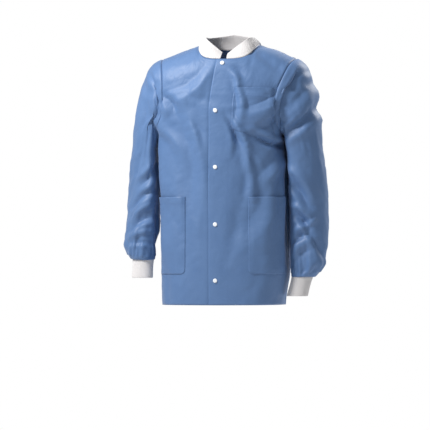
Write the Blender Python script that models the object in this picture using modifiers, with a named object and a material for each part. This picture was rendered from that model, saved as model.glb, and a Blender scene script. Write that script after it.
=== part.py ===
"""Hip-length disposable lab jacket: nonwoven panels, rib-knit collar and cuffs, five press snaps.

Frame: metres, +Z up, the coat faces -Y and the wearer's left is +X. The origin is the point between
the wearer's shoulders, at the height of the two high shoulder points of the neckline.
"""
import math

import bmesh
import bpy
from mathutils import Matrix, Vector

# ---- driving dimensions -------------------------------------------------------------------------
HEM_Z = -0.757              # hem of the body
UNDERARM_Z = -0.270         # bottom of the armholes
HALF_WIDTH = 0.180          # body, side to centre
FRONT_DEPTH = 0.138         # body, centre to front
BACK_DEPTH = 0.130          # body, centre to back
FRONT_FULLNESS = 4.0        # the higher, the straighter the front rises before it turns in
BACK_FULLNESS = 2.4
SWAY = -0.022               # the body hangs this far to the wearer's right of the neck
SWAY_END_Z = -0.200         # and hangs straight below this height
SHOULDER_SLOPE = 0.40       # fall of the shoulder seam per metre outwards
SHOULDER_TIP_X = 0.198      # end of the shoulder seam
SHOULDER_LIFT = 0.010       # a sleeve swings about a line this far over that end
NECK_HALF_WIDTH = 0.085     # neckline at the high shoulder points
NECK_ROUND = 0.060
FRONT_NECK_DROP = 0.047
BACK_NECK_DROP = 0.018
HEM_FLARE = 0.006           # how much wider the hem is than the chest, each side
SHOULDER_WIDTH = 0.275      # half width that the body surface heads for at the shoulder line
SIDE_FULLNESS = 2.7         # the higher, the squarer a level section is at its sides
FACE_FULLNESS = 2.3         # and the flatter it is at front and back
SHOULDER_ROUND = 0.466      # under 0.5 rounds the shoulder line more than an ellipse
ARMHOLE_HOLLOW = 0.026      # how far the armhole's edge curves in towards the chest
ARMHOLE_CURVE = 0.8

CLOTH = 0.0015              # panels, with their seam allowance
RIB = 0.0026                # rib knit of the collar and cuffs
GAP = 0.0003                # clearance between touching pieces
SEAM_GAP = 0.0006           # between front and back along the side and shoulder seams
FOLD_GAP = 0.0009           # between a front and its placket along the fold
PLACKET_TOP_GAP = 0.0020    # the plackets end this far under the neckline

OVERLAP_EDGE_X = -0.020     # free edge of the left placket, from the centre line
OVERLAP_FOLD_X = 0.042      # where the left placket folds back
UNDERLAP_EDGE_X = 0.011     # free edge of the right placket
UNDERLAP_FOLD_X = -0.014    # where the right placket folds back
OVERLAP_LIFT = 0.0019       # the left placket's inner face stands this far off the body surface
UNDERLAP_DROP = 0.0035      # the right placket's inner face lies this far under it

SNAP_Z = (-0.0600, -0.196, -0.359, -0.524, -0.686)
SNAP_FLAT = 0.0085          # half height of the flat that each snap sits on
CAP_SIDES = 16              # facets round a snap's cap
HIDDEN_SIDES = 12           # and round its other pieces
POST_RADIUS = 0.0012
HOLE_RADIUS = 0.0016
HOLE_DEPTH = 0.016          # long enough to go right through either placket

CUFF_RADIUS = 0.0310
POCKET_BELLY = 0.009        # how far a pocket's middle stands off the coat
POCKET_CROWN = 0.7          # the lower, the flatter that middle is from side to side
POCKET_FOOT = 0.30          # share of its height over which the belly rises from the bottom edge
POCKET_CLOTH = 0.0012
COLLAR_SEAM_GAP = 0.0028    # its lower edge stands this far over the neckline
COLLAR_LEAN = 0.79          # the collar's top edge against its seam, in plan
COLLAR_FRONT_Z = -0.034     # its top edge at centre front, at the sides and at centre back
COLLAR_SIDE_Z = 0.018
COLLAR_BACK_Z = 0.028

ARMHOLE_GAP = 0.0034        # the sleeve starts this far outside the armhole edge
ARM_DEPTH = 0.074           # half the upper sleeve's size front to back
PUFF_TAPER = ((0.5, 0.93), (0.85, 0.80), (1.0, 0.67))  # share of the way to the wrist, radius
CUFF_WAIST = 0.0016         # how much narrower the middle of a cuff is

BODY_ROWS = 9               # rows from hem to underarm
ARMHOLE_ROWS = 9            # rows of the back from underarm to shoulder
NECK_ROWS = 6               # rows of a front along its neckline
FRONT_COLUMNS = 8
BACK_COLUMNS = 20
COLLAR_COLUMNS = 34
POCKET_COLUMNS = 8
POCKET_ROWS = 7
RING = 16                   # points round a sleeve or cuff
CAP_ROWS = 6                # rows of a sleeve over the shoulder
ARM_ROWS = 7                # and down the arm

OVERLAP_COLUMNS = (OVERLAP_EDGE_X, -0.008, 0.008, 0.022, 0.032, OVERLAP_FOLD_X)
UNDERLAP_COLUMNS = (UNDERLAP_FOLD_X, -0.0065, 0.0065, UNDERLAP_EDGE_X)
UNDERLAP_FOLD_LIFT = -0.0002

# Each pocket's side, inner and outer edge from the centre line, top, bottom and how much lower the
# bottom is at the outer edge.
POCKETS = {
    "chest_pocket": (1, 0.047, 0.158, -0.129, -0.250, 0.042),
    "hip_pocket_left": (1, 0.093, 0.179, -0.445, -0.668, 0.0),
    "hip_pocket_right": (-1, 0.093, 0.179, -0.445, -0.668, 0.0),
}

# Each sleeve runs from its armhole over the upper arm, the elbow and the puff of spare length above
# the cuff to the top of the cuff: x, y, z of its middle at each.
SLEEVES = {
    "left": {"side": 1, "arm": (0.2215, 0.004, -0.310), "arm_radius": 0.0535,
             "elbow": (0.235, 0.020, -0.470), "puff": (0.232, -0.006, -0.648), "puff_radius": 0.052,
             "wrist": (0.212, -0.012, -0.674), "cuff_run": (-0.014, -0.008, -0.056)},
    "right": {"side": -1, "arm": (-0.2530, 0.004, -0.310), "arm_radius": 0.0435,
              "elbow": (-0.2620, 0.018, -0.460), "puff": (-0.2680, -0.020, -0.596),
              "puff_radius": 0.0500,
              "wrist": (-0.2535, -0.028, -0.624), "cuff_run": (-0.001, -0.010, -0.054)},
}

BLUE = (0.145, 0.255, 0.520, 1.0)
KNIT_WHITE = (0.830, 0.815, 0.805, 1.0)
SNAP_WHITE = (0.880, 0.880, 0.870, 1.0)
CLOTH_ROUGHNESS = 0.55
KNIT_ROUGHNESS = 0.85
SNAP_ROUGHNESS = 0.32


# ---- scene and materials ------------------------------------------------------------------------
def clear_scene():
    for item in list(bpy.data.objects):
        bpy.data.objects.remove(item, do_unlink=True)


def new_collection(name):
    collection = bpy.data.collections.new(name)
    bpy.context.scene.collection.children.link(collection)
    return collection


def give_material(item, colour, roughness):
    """Each sub-part has its own Principled material."""
    material = bpy.data.materials.new(item.name + "_material")
    material.use_nodes = True
    shader = material.node_tree.nodes["Principled BSDF"]
    shader.inputs["Base Color"].default_value = colour
    shader.inputs["Roughness"].default_value = roughness
    item.data.materials.append(material)


def loft(name, rows, closed, thickness, collection):
    """A sheet through rows of points, thickened outwards. A closed sheet joins each row's ends."""
    count = len(rows[0])
    verts = [point for row in rows for point in row]
    faces = []
    for r in range(len(rows) - 1):
        for c in range(count if closed else count - 1):
            here = r * count + c
            beside = r * count + (c + 1) % count
            faces.append((here, beside, beside + count, here + count))
    mesh = bpy.data.meshes.new(name)
    mesh.from_pydata(verts, [], faces)
    mesh.update()
    mesh.shade_smooth()
    item = bpy.data.objects.new(name, mesh)
    collection.objects.link(item)
    solid = item.modifiers.new("Thickness", "SOLIDIFY")
    solid.thickness = thickness
    solid.offset = 1.0
    solid.use_even_offset = True
    return item


# ---- the body surface ---------------------------------------------------------------------------
def mix(a, b, t):
    return a + (b - a) * t


def smooth(t):
    t = min(1.0, max(0.0, t))
    return t * t * (3.0 - 2.0 * t)


def sway(z):
    return SWAY * smooth(z / SWAY_END_Z)


def shoulder_height(x):
    """The shoulder line, 0 at the neckline's sides and rounded over the neck opening."""
    return SHOULDER_SLOPE * (math.hypot(NECK_HALF_WIDTH, NECK_ROUND) - math.hypot(x, NECK_ROUND))


def half_width(z):
    return HALF_WIDTH + HEM_FLARE * smooth((UNDERARM_Z - z) / (UNDERARM_Z - HEM_Z))


def rise(x, z):
    """0 at the underarm and below, 1 on the shoulder line."""
    return max(0.0, (z - UNDERARM_Z) / (shoulder_height(x) - UNDERARM_Z))


def depth(x, z, full_depth):
    """Distance of the body surface from the XZ plane at x from the centre line."""
    up = min(1.0, rise(x, z))
    width = mix(half_width(z), SHOULDER_WIDTH, up)
    across = max(0.0, 1.0 - (abs(x) / width) ** SIDE_FULLNESS) ** (1.0 / FACE_FULLNESS)
    fullness = FRONT_FULLNESS if full_depth == FRONT_DEPTH else BACK_FULLNESS
    return full_depth * across * (1.0 - up ** fullness) ** SHOULDER_ROUND


def on_front(x, z):
    return Vector((x + sway(z), -depth(x, z, FRONT_DEPTH) - 0.5 * SEAM_GAP, z))


def on_back(x, z):
    return Vector((x + sway(z), depth(x, z, BACK_DEPTH) + 0.5 * SEAM_GAP, z))


def front_normal(x, z):
    step = 0.0005
    along_x = on_front(x + step, z) - on_front(x - step, z)
    along_z = on_front(x, z + step) - on_front(x, z - step)
    return along_x.cross(along_z).normalized()


def off_front(x, z, lift):
    return on_front(x, z) + front_normal(x, z) * lift


def armhole_x(up):
    """The armhole's distance from the centre line, from underarm (0) to shoulder tip (1)."""
    hollow = ARMHOLE_HOLLOW * math.sin(math.pi * up) ** ARMHOLE_CURVE
    return mix(half_width(UNDERARM_Z), SHOULDER_TIP_X, up) - hollow


def height_at(x, up):
    return mix(UNDERARM_Z, shoulder_height(x), up)


def front_neck_z(x):
    share = min(1.0, abs(x) / NECK_HALF_WIDTH)
    return -FRONT_NECK_DROP * math.sqrt(1.0 - share ** 4)


def back_neck_z(x):
    share = min(1.0, abs(x) / NECK_HALF_WIDTH)
    return -BACK_NECK_DROP * math.sqrt(1.0 - share ** 4)


def placket_heights():
    """Levels of a placket from the hem up: a flat at each snap and one level between."""
    heights = [HEM_Z]
    for z in reversed(SNAP_Z):
        heights.append(0.5 * (heights[-1] + z - SNAP_FLAT))
        heights += [z - SNAP_FLAT, z + SNAP_FLAT]
    return heights


def side_spread(fold_x, share, up):
    """Spreads a front's columns: closest at the side seam below, evenly at the shoulder."""
    start = math.asin(fold_x / HALF_WIDTH)
    turned_share = math.sin(mix(start, 0.5 * math.pi, share)) - math.sin(start)
    return mix(turned_share / (1.0 - math.sin(start)), share, up)


def front_rows(side, fold_x, columns):
    """Rows of one front from its fold (and the neckline) out to its side seam (and the armhole)."""
    rows = []
    inner_edge = []
    for z in placket_heights():
        if z < UNDERARM_Z:
            row = []
            for c in range(columns + 1):
                x = mix(fold_x, half_width(z), side_spread(fold_x, c / columns, 0.0))
                row.append(on_front(side * x, z))
            rows.append(row)
        else:
            inner_edge.append((fold_x, rise(fold_x, z)))
    inner_edge.insert(0, (fold_x, 0.0))
    inner_edge.append((fold_x, rise(fold_x, front_neck_z(fold_x))))
    start = math.asin(fold_x / NECK_HALF_WIDTH)
    for r in range(1, NECK_ROWS + 1):
        x = NECK_HALF_WIDTH * math.sin(mix(start, 0.5 * math.pi, r / NECK_ROWS))
        inner_edge.append((x, rise(x, front_neck_z(x))))
    for inner_x, up in inner_edge:
        row = []
        for c in range(columns + 1):
            x = mix(inner_x, armhole_x(up), side_spread(fold_x, c / columns, up))
            row.append(on_front(side * x, height_at(x, up)))
        rows.append(row)
    return rows if side > 0 else [row[::-1] for row in rows]


# ---- panels -------------------------------------------------------------------------------------
def front_panel(name, side, fold_x, collection):
    item = loft(name, front_rows(side, fold_x, FRONT_COLUMNS), False, CLOTH, collection)
    give_material(item, BLUE, CLOTH_ROUGHNESS)
    return item


def shoulder_x(share):
    """Spreads the back's columns along its top edge, closest where the neckline is steepest."""
    reach = abs(share)
    if reach <= 0.5:
        x = NECK_HALF_WIDTH * math.sin(math.pi * reach)
    else:
        x = mix(NECK_HALF_WIDTH, SHOULDER_TIP_X, 2.0 * reach - 1.0)
    return math.copysign(x, share)


def back_panel(collection):
    """From side seam to side seam. The middle columns stop at the back neckline."""
    rows = []
    shares = [1.0 - 2.0 * c / BACK_COLUMNS for c in range(BACK_COLUMNS + 1)]
    spreads = [math.sin(0.5 * math.pi * share) for share in shares]
    for r in range(BODY_ROWS):
        z = mix(HEM_Z, UNDERARM_Z, r / BODY_ROWS)
        rows.append([on_back(half_width(z) * spread, z) for spread in spreads])
    for r in range(ARMHOLE_ROWS + 1):
        up = math.sin(0.5 * math.pi * r / ARMHOLE_ROWS)
        row = []
        for share, spread in zip(shares, spreads):
            x = armhole_x(up) * mix(spread, shoulder_x(share) / SHOULDER_TIP_X, up)
            height = height_at(x, up)
            if abs(x) < NECK_HALF_WIDTH:
                height = min(height, mix(UNDERARM_Z, back_neck_z(x), up))
            row.append(on_back(x, height))
        rows.append(row)
    item = loft("back_panel", rows, False, CLOTH, collection)
    give_material(item, BLUE, CLOTH_ROUGHNESS)
    return item


def placket(name, columns, lifts, collection):
    """A strip of the front whose inner face stands off the body surface by a lift per column."""
    rows = []
    for z in placket_heights():
        rows.append([off_front(x, z, lift) for x, lift in zip(columns, lifts)])
    top = [front_neck_z(x) - PLACKET_TOP_GAP for x in columns]
    rows.append([off_front(x, z, lift) for x, z, lift in zip(columns, top, lifts)])
    item = loft(name, rows, False, CLOTH, collection)
    give_material(item, BLUE, CLOTH_ROUGHNESS)
    return item


def snap_frame(z):
    """The middle and outward direction of a snap's flat on the body surface."""
    low = on_front(0.0, z - SNAP_FLAT)
    high = on_front(0.0, z + SNAP_FLAT)
    outward = Vector((1.0, 0.0, 0.0)).cross(high - low).normalized()
    turn = outward.to_track_quat("Z", "Y").to_matrix().to_4x4()
    return Matrix.Translation(0.5 * (low + high)) @ turn


def cut_post_holes(item, cutters):
    for number, z in enumerate(SNAP_Z, start=1):
        bpy.ops.mesh.primitive_cylinder_add(vertices=HIDDEN_SIDES, radius=HOLE_RADIUS,
                                            depth=HOLE_DEPTH)
        cutter = bpy.context.active_object
        cutter.name = f"{item.name}_hole_{number}"
        cutter.matrix_world = snap_frame(z)
        cutter.hide_render = True
        cutter.display_type = "WIRE"
        for collection in list(cutter.users_collection):
            collection.objects.unlink(cutter)
        cutters.objects.link(cutter)
        cut = item.modifiers.new(f"Post hole {number}", "BOOLEAN")
        cut.operation = "DIFFERENCE"
        cut.solver = "EXACT"
        cut.object = cutter


# ---- snaps --------------------------------------------------------------------------------------
def turned(name, profile, sides, collection):
    """A profile of (radius, height) points turned about its own Z axis."""
    verts = [(radius, 0.0, height) for radius, height in profile]
    edges = [(n, n + 1) for n in range(len(profile) - 1)]
    mesh = bpy.data.meshes.new(name)
    mesh.from_pydata(verts, edges, [])
    item = bpy.data.objects.new(name, mesh)
    collection.objects.link(item)
    screw = item.modifiers.new("Turn", "SCREW")
    screw.steps = sides
    screw.render_steps = sides
    screw.use_merge_vertices = True
    screw.merge_threshold = 0.00001
    screw.use_smooth_shade = True
    give_material(item, SNAP_WHITE, SNAP_ROUGHNESS)
    return item


def snap_profiles():
    """Outlines of the four pieces. Height 0 is the body surface, and up is out of the coat."""
    cloth_out = OVERLAP_LIFT + CLOTH + GAP
    socket_top = OVERLAP_LIFT - GAP
    socket_face = socket_top - 0.0020
    stud_base = -UNDERLAP_DROP + CLOTH + GAP
    stud_face = stud_base + 0.0008
    back_top = -UNDERLAP_DROP - GAP
    back_face = back_top - 0.0010
    cap = [(0.0, cloth_out + 0.0012), (0.0011, cloth_out + 0.0012), (0.0019, cloth_out + 0.0018),
           (0.0040, cloth_out + 0.0016), (0.0056, cloth_out + 0.0010), (0.0062, cloth_out + 0.0003),
           (0.0060, cloth_out), (POST_RADIUS, cloth_out), (POST_RADIUS, socket_top + GAP),
           (0.0, socket_top + GAP)]
    socket = [(0.0, socket_top), (0.0048, socket_top), (0.0050, socket_top - 0.0004),
              (0.0044, socket_face), (0.0024, socket_face), (0.0024, socket_face + 0.0013),
              (0.0, socket_face + 0.0013)]
    stud = [(0.0, stud_face + 0.0013), (0.0015, stud_face + 0.0013), (0.0019, stud_face + 0.0008),
            (0.0017, stud_face), (0.0048, stud_face), (0.0050, stud_base), (0.0, stud_base)]
    post = [(0.0, back_top + CLOTH + GAP), (POST_RADIUS, back_top + CLOTH + GAP),
            (POST_RADIUS, back_top), (0.0056, back_top), (0.0058, back_top - 0.0004),
            (0.0046, back_face), (0.0, back_face)]
    return {"snap_cap": cap, "snap_socket": socket, "snap_stud": stud, "snap_post": post}


def add_snaps(collection, overlap_fold, underlap_fold):
    holders = {"snap_cap": overlap_fold, "snap_socket": overlap_fold,
               "snap_stud": underlap_fold, "snap_post": underlap_fold}
    for kind, profile in snap_profiles().items():
        for number, z in enumerate(SNAP_Z, start=1):
            sides = CAP_SIDES if kind == "snap_cap" else HIDDEN_SIDES
            piece = turned(f"{kind}_{number}", profile, sides, collection)
            hang(piece, holders[kind], snap_frame(z))


# ---- collar, cuffs and sleeves ------------------------------------------------------------------
def neckline(count):
    """Points along the neckline, from the right front over the back to the left front."""
    reach = 0.965
    points = []
    for n in range(count + 1):
        turn = mix(-reach, reach, n / count) * math.pi
        x = NECK_HALF_WIDTH * math.sin(turn)
        if abs(turn) < 0.5 * math.pi:
            points.append(on_back(x, back_neck_z(x)))
        else:
            points.append(on_front(x, front_neck_z(x)))
    return points


def collar(collection):
    """A rib-knit band that stands on the neckline, leans in, and falls to a V at centre front."""
    tip_x = NECK_HALF_WIDTH * COLLAR_LEAN
    rows = [[], [], [], []]
    for seam in neckline(COLLAR_COLUMNS):
        top = Vector((seam.x * COLLAR_LEAN, seam.y * COLLAR_LEAN, 0.0))
        middle_z = COLLAR_BACK_Z if seam.y > 0.0 else COLLAR_FRONT_Z
        top.z = mix(middle_z, COLLAR_SIDE_Z, min(1.0, abs(top.x) / tip_x))
        base = seam + Vector((0.0, 0.0, COLLAR_SEAM_GAP))
        for r, row in enumerate(rows):
            row.append(base.lerp(top, r / (len(rows) - 1)))
    item = loft("collar", [row[::-1] for row in rows], False, -RIB, collection)
    give_material(item, KNIT_WHITE, KNIT_ROUGHNESS)
    return item


def armhole_ring(side):
    """The armhole from the underarm up its front and down its back."""
    points = []
    for n in range(RING):
        turn = 2.0 * math.pi * n / RING
        up = 0.5 - 0.5 * math.cos(turn)
        x = armhole_x(up)
        on_side = on_front if turn < math.pi else on_back
        points.append(on_side(side * x, height_at(x, up)))
    return points


def level_ring(centre, radius_x, radius_y, side):
    """A ring whose first point faces the body, in the same order round as the armhole's."""
    points = []
    for n in range(RING):
        turn = 2.0 * math.pi * n / RING
        x = centre.x - side * radius_x * math.cos(turn)
        y = centre.y - radius_y * math.sin(turn)
        points.append(Vector((x, y, centre.z)))
    return points


def bend(first, second, third, t):
    return first * (1 - t) ** 2 + second * (2 * t * (1 - t)) + third * t ** 2


def sleeve(name, plan, collection):
    """Armhole to cuff: a shoulder cap that turns downwards, an arm, and a puff over the cuff."""
    side = plan["side"]
    arm, elbow, puff, wrist = (Vector(plan[key]) for key in ("arm", "elbow", "puff", "wrist"))
    start = [point + Vector((side * ARMHOLE_GAP, 0.0, 0.0)) for point in armhole_ring(side)]
    end = level_ring(arm, plan["arm_radius"], ARM_DEPTH, side)
    top = max(point.z for point in start)
    rows = []
    for r in range(CAP_ROWS):
        row = []
        for first, last in zip(start, end):
            high = smooth((first.z - UNDERARM_Z) / (top - UNDERARM_Z))
            over = Vector((mix(first.x, last.x, mix(0.35, 0.82, high)), mix(first.y, last.y, 0.5),
                           mix(mix(first.z, last.z, 0.3), first.z, high * 0.86)))
            row.append(bend(first, over, last, r / CAP_ROWS))
        rows.append(row)
    through = elbow * 2.0 - (arm + puff) * 0.5
    for r in range(ARM_ROWS + 1):
        t = r / ARM_ROWS
        radius_x = mix(plan["arm_radius"], plan["puff_radius"], t)
        radius_y = mix(ARM_DEPTH, plan["puff_radius"], t)
        rows.append(level_ring(bend(arm, through, puff, t), radius_x, radius_y, side))
    for t, taper in PUFF_TAPER:
        radius = taper * plan["puff_radius"]
        rows.append(level_ring(puff.lerp(wrist, t), radius, radius, side))
    if side < 0:
        rows = [row[::-1] for row in rows]
    item = loft(name, rows[::-1], True, -CLOTH, collection)
    give_material(item, BLUE, CLOTH_ROUGHNESS)
    return item


def cuff(name, plan, collection):
    """A rib-knit tube, a little waisted, whose top edge meets the sleeve's end."""
    top = Vector(plan["wrist"]) + Vector((0.0, 0.0, -2.0 * GAP))
    run = Vector(plan["cuff_run"])
    rows = []
    for share, waist in ((0.0, 0.0), (0.5, CUFF_WAIST), (1.0, 0.0)):
        radius = CUFF_RADIUS - waist
        rows.append(level_ring(top + run * share, radius, radius, 1))
    item = loft(name, rows[::-1], True, -RIB, collection)
    give_material(item, KNIT_WHITE, KNIT_ROUGHNESS)
    return item


# ---- pockets ------------------------------------------------------------------------------------
def pocket(name, collection):
    """A patch pocket that bellies off its panel and is open along its top edge."""
    side, inner_x, outer_x, top_z, bottom_z, slant = POCKETS[name]
    rows = []
    for r in range(POCKET_ROWS + 1):
        up = r / POCKET_ROWS
        row = []
        for c in range(POCKET_COLUMNS + 1):
            across = c / POCKET_COLUMNS
            z = mix(bottom_z - slant * across, top_z, up)
            start = math.asin(inner_x / half_width(z))
            end = math.asin(outer_x / half_width(z))
            x = half_width(z) * math.sin(mix(start, end, across))
            belly = math.sin(math.pi * across) ** POCKET_CROWN * smooth(up / POCKET_FOOT)
            row.append(off_front(side * x, z, CLOTH + 3.0 * GAP + POCKET_BELLY * belly))
        rows.append(row if side > 0 else row[::-1])
    item = loft(name, rows, False, POCKET_CLOTH, collection)
    give_material(item, BLUE, CLOTH_ROUGHNESS)
    return item


# ---- joints -------------------------------------------------------------------------------------
def pivot(name, location, direction, collection):
    """An empty whose Z axis is a joint's axis."""
    item = bpy.data.objects.new(name, None)
    item.empty_display_size = 0.03
    turn = Vector(direction).to_track_quat("Z", "Y").to_matrix().to_4x4()
    item.matrix_world = Matrix.Translation(location) @ turn
    collection.objects.link(item)
    return item


def hang(piece, holder, place=None):
    """Parent a piece to a pivot without moving it, or at a place in the world."""
    world = Matrix.Identity(4) if place is None else place
    piece.parent = holder
    piece.matrix_parent_inverse = holder.matrix_world.inverted()
    piece.matrix_basis = world


def fold_line(x):
    """The foot and direction of the line just in front of a placket's fold, hem to top snap."""
    foot = off_front(x, UNDERARM_Z, OVERLAP_LIFT + CLOTH)
    foot.z = HEM_Z
    lean = sway(SNAP_Z[0]) - sway(HEM_Z)
    return foot, Vector((lean, 0.0, SNAP_Z[0] - HEM_Z)).normalized()


def main():
    clear_scene()
    coat = new_collection("lab_coat")
    cutters = new_collection("cutters")

    back_panel(coat)
    front_panel("front_panel_left", 1, OVERLAP_FOLD_X + FOLD_GAP, coat)
    front_panel("front_panel_right", -1, -UNDERLAP_FOLD_X + FOLD_GAP, coat)

    foot, upwards = fold_line(OVERLAP_FOLD_X)
    overlap_fold = pivot("left_front_fold", foot, upwards, coat)
    foot, upwards = fold_line(UNDERLAP_FOLD_X)
    underlap_fold = pivot("right_front_fold", foot, -upwards, coat)
    lifts = (OVERLAP_LIFT,) * (len(OVERLAP_COLUMNS) - 1) + (0.0,)
    over = placket("placket_left", OVERLAP_COLUMNS, lifts, coat)
    lifts = (UNDERLAP_FOLD_LIFT,) + (-UNDERLAP_DROP,) * (len(UNDERLAP_COLUMNS) - 1)
    under = placket("placket_right", UNDERLAP_COLUMNS, lifts, coat)
    cut_post_holes(over, cutters)
    cut_post_holes(under, cutters)
    hang(over, overlap_fold)
    hang(under, underlap_fold)
    add_snaps(coat, overlap_fold, underlap_fold)

    collar(coat)
    tip_z = shoulder_height(SHOULDER_TIP_X)
    for label, plan in SLEEVES.items():
        tip = Vector((plan["side"] * SHOULDER_TIP_X + sway(tip_z), 0.0, tip_z + SHOULDER_LIFT))
        swing = pivot(label + "_shoulder_seam", tip, (0.0, -plan["side"], 0.0), coat)
        hang(sleeve("sleeve_" + label, plan, coat), swing)
        hang(cuff("cuff_" + label, plan, coat), swing)

    for name in POCKETS:
        pocket(name, coat)


main()
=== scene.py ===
"""A disposable lab jacket: simulated nonwoven cloth, rib-knit collar and cuffs, sewn pockets.

The cloth is one mesh while it is simulated. It is then cut along its seams into the real pieces.
"""
import math

import bmesh
import bpy
import numpy as np
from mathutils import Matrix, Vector, noise
from mathutils.bvhtree import BVHTree
from mathutils.interpolate import poly_3d_calc


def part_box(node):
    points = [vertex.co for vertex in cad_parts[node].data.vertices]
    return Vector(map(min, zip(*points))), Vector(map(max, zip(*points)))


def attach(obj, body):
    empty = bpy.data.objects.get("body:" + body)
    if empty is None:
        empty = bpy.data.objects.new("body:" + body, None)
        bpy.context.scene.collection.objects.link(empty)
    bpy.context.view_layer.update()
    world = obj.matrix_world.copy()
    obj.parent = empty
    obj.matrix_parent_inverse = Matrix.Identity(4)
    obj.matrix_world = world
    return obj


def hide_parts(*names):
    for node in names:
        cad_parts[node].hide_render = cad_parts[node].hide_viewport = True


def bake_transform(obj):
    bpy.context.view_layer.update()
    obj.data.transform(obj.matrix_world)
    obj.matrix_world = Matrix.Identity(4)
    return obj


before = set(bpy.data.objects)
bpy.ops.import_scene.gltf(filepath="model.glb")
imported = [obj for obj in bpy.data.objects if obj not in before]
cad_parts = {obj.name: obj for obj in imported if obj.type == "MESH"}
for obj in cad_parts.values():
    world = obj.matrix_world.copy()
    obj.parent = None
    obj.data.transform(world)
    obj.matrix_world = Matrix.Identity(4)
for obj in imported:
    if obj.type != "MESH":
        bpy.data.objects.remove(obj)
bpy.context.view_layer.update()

# ---- sizes, in metres ---------------------------------------------------------------------------
HEM_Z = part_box("back_panel")[0][2]
UNDERARM_Z = -0.270
HALF_WIDTH = 0.180
FRONT_DEPTH = 0.138
BACK_DEPTH = 0.130
FRONT_FULLNESS = 4.0
BACK_FULLNESS = 2.4
SWAY = -0.022
SWAY_END_Z = -0.200
SHOULDER_SLOPE = 0.40
SHOULDER_TIP_X = 0.198
NECK_HALF_WIDTH = 0.085
NECK_ROUND = 0.060
FRONT_NECK_DROP = 0.047
BACK_NECK_DROP = 0.018
HEM_FLARE = 0.006

OVERLAP_EDGE_X = -0.020
OVERLAP_FOLD_X = 0.042
UNDERLAP_EDGE_X = 0.011
CLOTH_LIFT = 0.0008         # middle of the coat's cloth off the body surface
OVERLAP_LIFT = 0.0026       # middle of the overlap's cloth off it
UNDERLAP_STEP = 0.0054      # from the overlap's cloth down to the underlap's
SHEET = 0.0007              # thickness of the cloth

LOW_ROWS = 44               # rows of cloth from hem to underarm
ARM_ROWS = 24               # and from underarm to shoulder
SIDE_COLUMNS = 17           # columns from the placket to the side seam
NECK_COLUMNS = 4            # of which this many end on the neckline
PIECES = ("front_left", "front_right", "back", "sleeve_left", "sleeve_right", "overlap")
FRONT_SIDES = ("front_left", "front_right", "overlap")
INNER_X = (-0.052, -0.040, -0.030, OVERLAP_EDGE_X, -0.010, 0.0, UNDERLAP_EDGE_X, 0.021, 0.031,
           OVERLAP_FOLD_X, 0.052)
SLEEVE_EASE = {1: 0.011, -1: 0.013}  # how far each sleeve's inner side bags towards the body
ARM_Z = -0.310              # level of the first full ring of a sleeve
CAP_ROWS = 17               # rows of cloth above it
ARM_PITCH = 0.0105          # between the rings below it
SIM_FRAMES = 50

FRONT_FOLD_DEPTH = 1.6      # factors on the folds' heights below
BACK_FOLD_DEPTH = 1.2
SLEEVE_FOLD_DEPTH = 1.2
SEAM_DIP = -0.0026          # along the armhole seams
SLEEVE_TILT = {1: 0.10, -1: 0.24}    # how far down the direction away from each sleeve's shoulder seam leans

COLLAR_LEAN = 0.79
COLLAR_FRONT_Z = -0.034
COLLAR_SIDE_Z = 0.018
COLLAR_BACK_Z = 0.028
KNIT = 0.0026
RIB_PITCH = 0.0024
STITCH_INSET = 0.004
HEM_STITCH = 0.016
POCKET_HEM = 0.020

# Name, side, inner and outer edge, top, bottom, slant, corner radius and belly of each pocket.
POCKETS = (("chest_pocket", 1, 0.047, 0.158, -0.129, -0.250, 0.042, 0.008, 0.004),
           ("hip_pocket_left", 1, 0.093, 0.179, -0.445, -0.668, 0.0, 0.014, 0.004),
           ("hip_pocket_right", -1, 0.093, 0.179, -0.445, -0.668, 0.0, 0.014, 0.004))

FLOOR_Z = -1.36
CAMERA_AZIMUTH = 10.0
CAMERA_LENS = 450.0
CAMERA_AIM = (-0.0457, -0.0081, -0.497)
CAMERA_DISTANCE = 15.59
LIGHT_AIM = (0.0, 0.0, -0.35)

# Folds from how the coat is worn, in millimetres: x and z of the start, then of the end, height, half width.
FRONT_FOLDS = (
    (-37, -80, -137, -168, 6, 34),        # from the top snap to the right chest
    (-116, -178, -68, -530, 6, 42),       # down the right front
    (-181, -152, -142, -204, -7, 22),     # from the right armhole
    (-179, -251, -110, -354, 5, 28),
    (-84, -230, -58, -292, -4, 16),
    (12, -66, 60, -98, -5, 15),           # from the top snap to the left chest
    (18, -80, 42, -132, 5, 15),
    (40, -125, 50, -225, 6, 16),
    (5, -209, 37, -323, -5, 14),          # between placket and chest pocket
    (21, -215, 74, -354, 7, 18),
    (37, -271, 100, -436, -6, 18),
    (60, -300, 84, -442, 5, 20),
    (190, -120, 80, -209, 7, 22),         # from the left armhole
    (190, -165, 105, -251, -8, 22),
    (178, -298, 85, -268, -10, 16),
    (172, -290, 120, -400, 6, 24),
    (165, -420, 30, -620, 3, 50),
    (-160, -420, -60, -640, 3, 50),
)
BACK_FOLDS = (
    (-190, -110, -70, -230, 6, 26),
    (180, -120, 60, -240, 6, 26),
    (-190, -180, -80, -330, -6, 26),
    (175, -190, 50, -350, -6, 26),
    (-140, -260, -110, -740, 7, 34),
    (-70, -320, -60, -740, -6, 30),
    (0, -100, -15, -740, 6, 34),
    (70, -330, 45, -740, -6, 28),
    (130, -280, 95, -740, 7, 32),
)
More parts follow.
